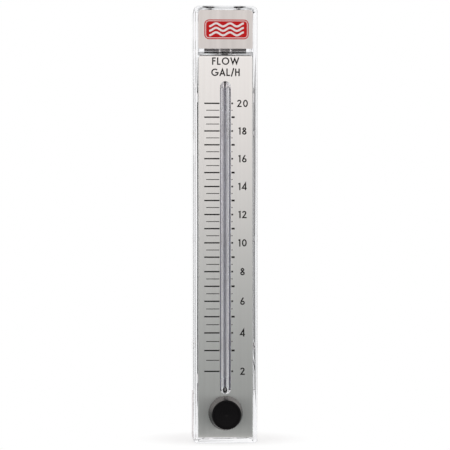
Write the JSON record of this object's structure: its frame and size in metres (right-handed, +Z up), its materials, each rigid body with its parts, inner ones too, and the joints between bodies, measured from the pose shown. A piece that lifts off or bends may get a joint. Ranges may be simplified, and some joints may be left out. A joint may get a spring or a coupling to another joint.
{
  "type": "rotameter",
  "caption": "Tall clear-bodied variable-area flowmeter with a steel scale plate, a ball float, a needle valve with a knob, and threaded ports in the back.",
  "frame": {"origin": "centre of the inlet port on the flat back face", "axes": "+Z up along the flow tube, +Y out of the back towards the panel, +X to the right as the scale is read"},
  "size_m": [0.0572, 0.0646, 0.3905],
  "materials": {
    "clear_plastic": "polished clear moulding",
    "scale_steel": "stainless sheet, brushed lengthwise",
    "nameplate_metal": "bare, brushed lengthwise",
    "ball_steel": "polished",
    "turned_steel": "turned stainless",
    "spring_steel": "rolled strip",
    "screw_steel": "plain",
    "seal_rubber": "matt black",
    "grey_strip": "matt grey film",
    "seat_plastic": "white, waxy",
    "knob_black": "black, semi-gloss",
    "insert_brass": "machined"
  },
  "bodies": {
    "housing": {"body": "clear_plastic", "bezel_cap": "clear_plastic", "scale_plate": "scale_steel", "nameplate": "nameplate_metal", "tube_plug": "turned_steel", "plug_retainer": "spring_steel", "tube_plug_ring": "seal_rubber", "backing_strip": "grey_strip", "inlet_insert": "turned_steel", "outlet_insert": "turned_steel", "inlet_ring": "seal_rubber", "outlet_ring": "seal_rubber", "lower_mounting_insert": "insert_brass", "upper_mounting_insert": "insert_brass", "valve_seat": "seat_plastic", "valve_body": "turned_steel", "valve_body_ring": "seal_rubber", "valve_lock_ring": "turned_steel", "bezel_screw_1": "screw_steel", "bezel_screw_2": "screw_steel", "bezel_screw_3": "screw_steel", "bezel_screw_4": "screw_steel"},
    "float": {"float_ball": "ball_steel"},
    "stem_seals": {"stem_ring_inner": "seal_rubber", "stem_ring_outer": "seal_rubber"},
    "spindle": {"valve_stem": "turned_steel", "knob": "knob_black", "knob_spring": "spring_steel"}
  },
  "joints": [
    {"name": "float_rise", "type": "slide", "parent": "housing", "child": "float", "axis": [0, 0, 1], "range_m": [0, 0.2672]},
    {"name": "stem_rise", "type": "slide", "parent": "housing", "child": "stem_seals", "axis": [0, -1, 0], "range_m": [0, 0.0048]},
    {"name": "knob_turn", "type": "hinge", "parent": "stem_seals", "child": "spindle", "pos_m": [0, -0.05, 0], "axis": [0, -1, 0], "range_deg": [0, 2160]}
  ],
  "couplings": [
    {"joint": "stem_rise", "follows": "knob_turn", "m_per_rad": 0.00012732}
  ]
}
